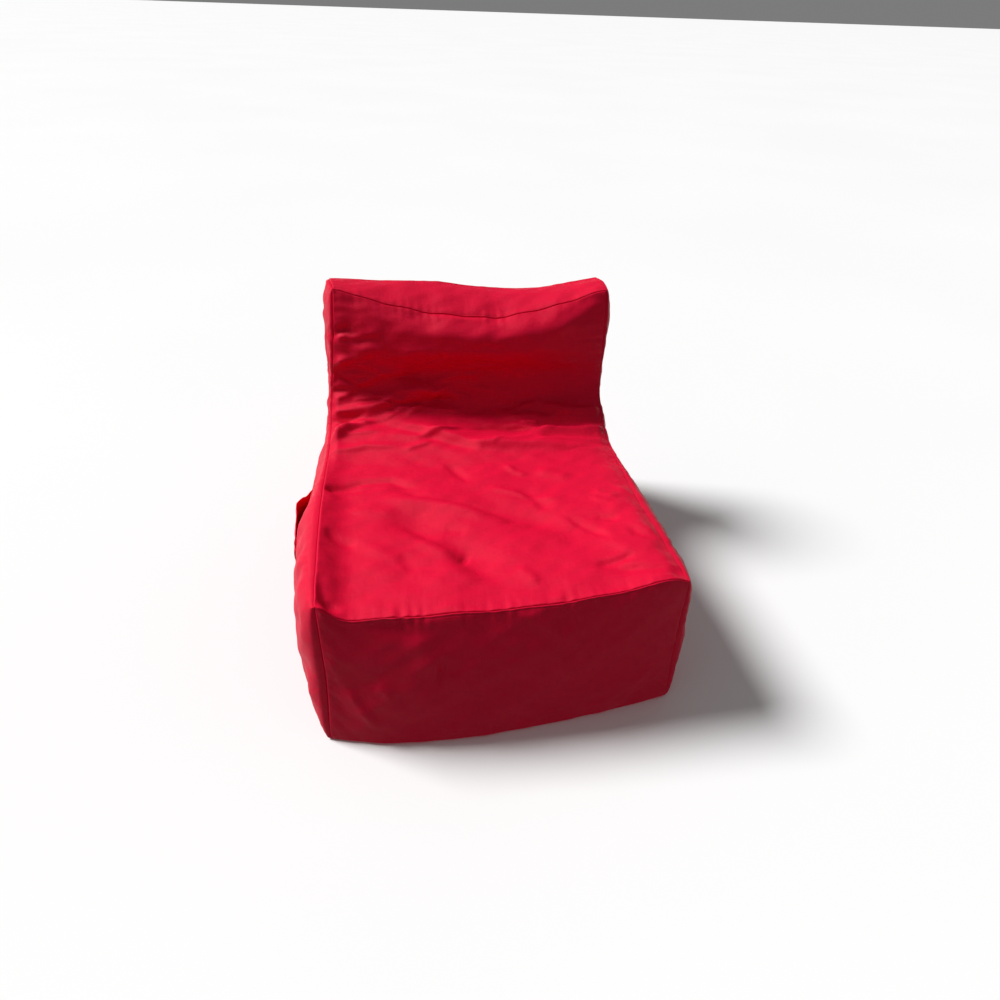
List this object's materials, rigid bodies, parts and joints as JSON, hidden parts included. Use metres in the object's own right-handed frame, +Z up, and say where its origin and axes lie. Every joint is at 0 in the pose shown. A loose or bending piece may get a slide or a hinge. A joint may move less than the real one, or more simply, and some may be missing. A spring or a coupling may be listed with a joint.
{
  "type": "bean bag chair",
  "caption": "Low L-shaped lounge bean bag with a flat seat, upright back, side pocket, rear grab handle and zipped cover over a bead-filled liner.",
  "frame": {"origin": "on the floor under the middle of the base panel", "axes": "+X to the sitter's left, +Y from the front of the seat towards the backrest, +Z up; the sitter faces -Y"},
  "size_m": [0.8201, 0.9185, 0.658],
  "materials": {
    "red_cover": "woven polyester, slight sheen",
    "webbing": "woven webbing",
    "label": "satin",
    "zip_tape": "woven tape",
    "zip_coil": "satin",
    "zip_metal": "semi-gloss enamel",
    "liner": "matte",
    "beads": "matte",
    "liner_zip_tape": "woven tape",
    "liner_zip_coil": "satin",
    "liner_zip_metal": "semi-gloss enamel"
  },
  "bodies": {
    "bag": {"front_panel": "red_cover", "seat_and_back_panel": "red_cover", "top_band_panel": "red_cover", "rear_panel_upper": "red_cover", "rear_panel_lower": "red_cover", "base_panel": "red_cover", "side_panel_left": "red_cover", "side_panel_right": "red_cover", "side_pocket_backing": "red_cover", "side_pocket_front": "red_cover", "side_pocket_hem": "red_cover", "handle_anchor_left": "webbing", "handle_anchor_right": "webbing", "care_label": "label", "zip_tape_upper": "zip_tape", "zip_tape_lower": "zip_tape", "zip_coil_upper": "zip_coil", "zip_coil_lower": "zip_coil", "zip_end_stops": "zip_metal", "inner_liner": "liner", "bead_fill": "beads", "liner_zip_tape_upper": "liner_zip_tape", "liner_zip_tape_lower": "liner_zip_tape", "liner_zip_coil_upper": "liner_zip_coil", "liner_zip_coil_lower": "liner_zip_coil", "liner_zip_end_stops": "liner_zip_metal"},
    "zip_slider": {"zip_slider": "zip_metal"},
    "zip_pull": {"zip_pull": "zip_metal"},
    "liner_zip_slider": {"liner_zip_slider": "liner_zip_metal"},
    "handle": {"handle_loop": "webbing"}
  },
  "joints": [
    {"name": "zip_slide", "type": "slide", "parent": "bag", "child": "zip_slider", "axis": [-1, 0, 0], "range_m": [0, 0.639]},
    {"name": "pull_swing", "type": "hinge", "parent": "zip_slider", "child": "zip_pull", "pos_m": [0.31951, 0.44595, 0.075], "axis": [0, 0, -1], "range_deg": [0, 175]},
    {"name": "liner_zip_slide", "type": "slide", "parent": "bag", "child": "liner_zip_slider", "axis": [-1, 0, 0], "range_m": [0, 0.469]},
    {"name": "handle_swing", "type": "hinge", "parent": "bag", "child": "handle", "pos_m": [0, 0.41226, 0.56086], "axis": [1, 0, 0], "range_deg": [0, 140]}
  ]
}
